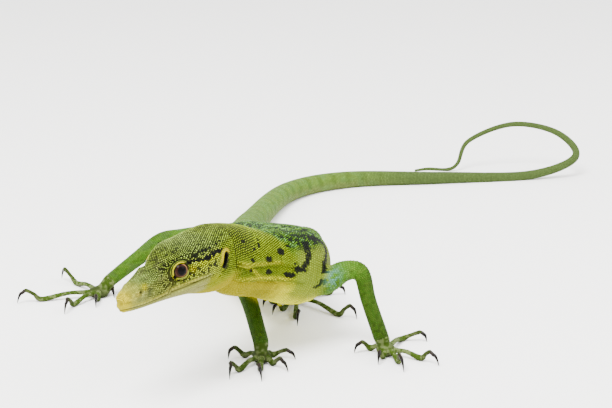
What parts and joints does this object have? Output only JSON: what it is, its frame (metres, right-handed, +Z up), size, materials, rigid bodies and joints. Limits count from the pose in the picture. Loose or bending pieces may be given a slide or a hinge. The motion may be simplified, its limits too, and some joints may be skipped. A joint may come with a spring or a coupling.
{
  "type": "emerald tree monitor",
  "caption": "Life-size still model of a slender green tree monitor lizard, standing with its head lowered to one side and its long thin tail swept round and curled.",
  "frame": {"origin": "on the floor, under the middle of the model's box", "axes": "+Z up; the animal faces -Y, its tail runs to +Y and curls at +X; its left side is +X"},
  "size_m": [0.2649, 0.3735, 0.055],
  "materials": {
    "skin_back": "satin",
    "skin_head": "satin",
    "skin_neck": "satin",
    "skin_limb": "satin",
    "skin_tail": "satin",
    "eye": "gloss",
    "claw": "gloss"
  },
  "bodies": {
    "root": {"claw_front_left_1": "claw", "claw_front_left_2": "claw", "claw_front_left_3": "claw", "claw_front_left_4": "claw", "claw_front_left_5": "claw", "claw_front_right_1": "claw", "claw_front_right_2": "claw", "claw_front_right_3": "claw", "claw_front_right_4": "claw", "claw_front_right_5": "claw", "claw_hind_left_1": "claw", "claw_hind_left_2": "claw", "claw_hind_left_3": "claw", "claw_hind_left_4": "claw", "claw_hind_left_5": "claw", "claw_hind_right_1": "claw", "claw_hind_right_2": "claw", "claw_hind_right_3": "claw", "claw_hind_right_4": "claw", "claw_hind_right_5": "claw", "eye_left": "eye", "eye_right": "eye", "foot_hind_left": "skin_limb", "foot_hind_right": "skin_limb", "forearm_front_left": "skin_limb", "forearm_front_right": "skin_limb", "hand_front_left": "skin_limb", "hand_front_right": "skin_limb", "head": "skin_head", "neck": "skin_neck", "shin_hind_left": "skin_limb", "shin_hind_right": "skin_limb", "tail_base": "skin_tail", "tail_loop": "skin_tail", "tail_middle": "skin_tail", "tail_third": "skin_tail", "tail_tip": "skin_tail", "thigh_hind_left": "skin_limb", "thigh_hind_right": "skin_limb", "torso": "skin_back", "upper_arm_front_left": "skin_limb", "upper_arm_front_right": "skin_limb"}
  },
  "joints": []
}
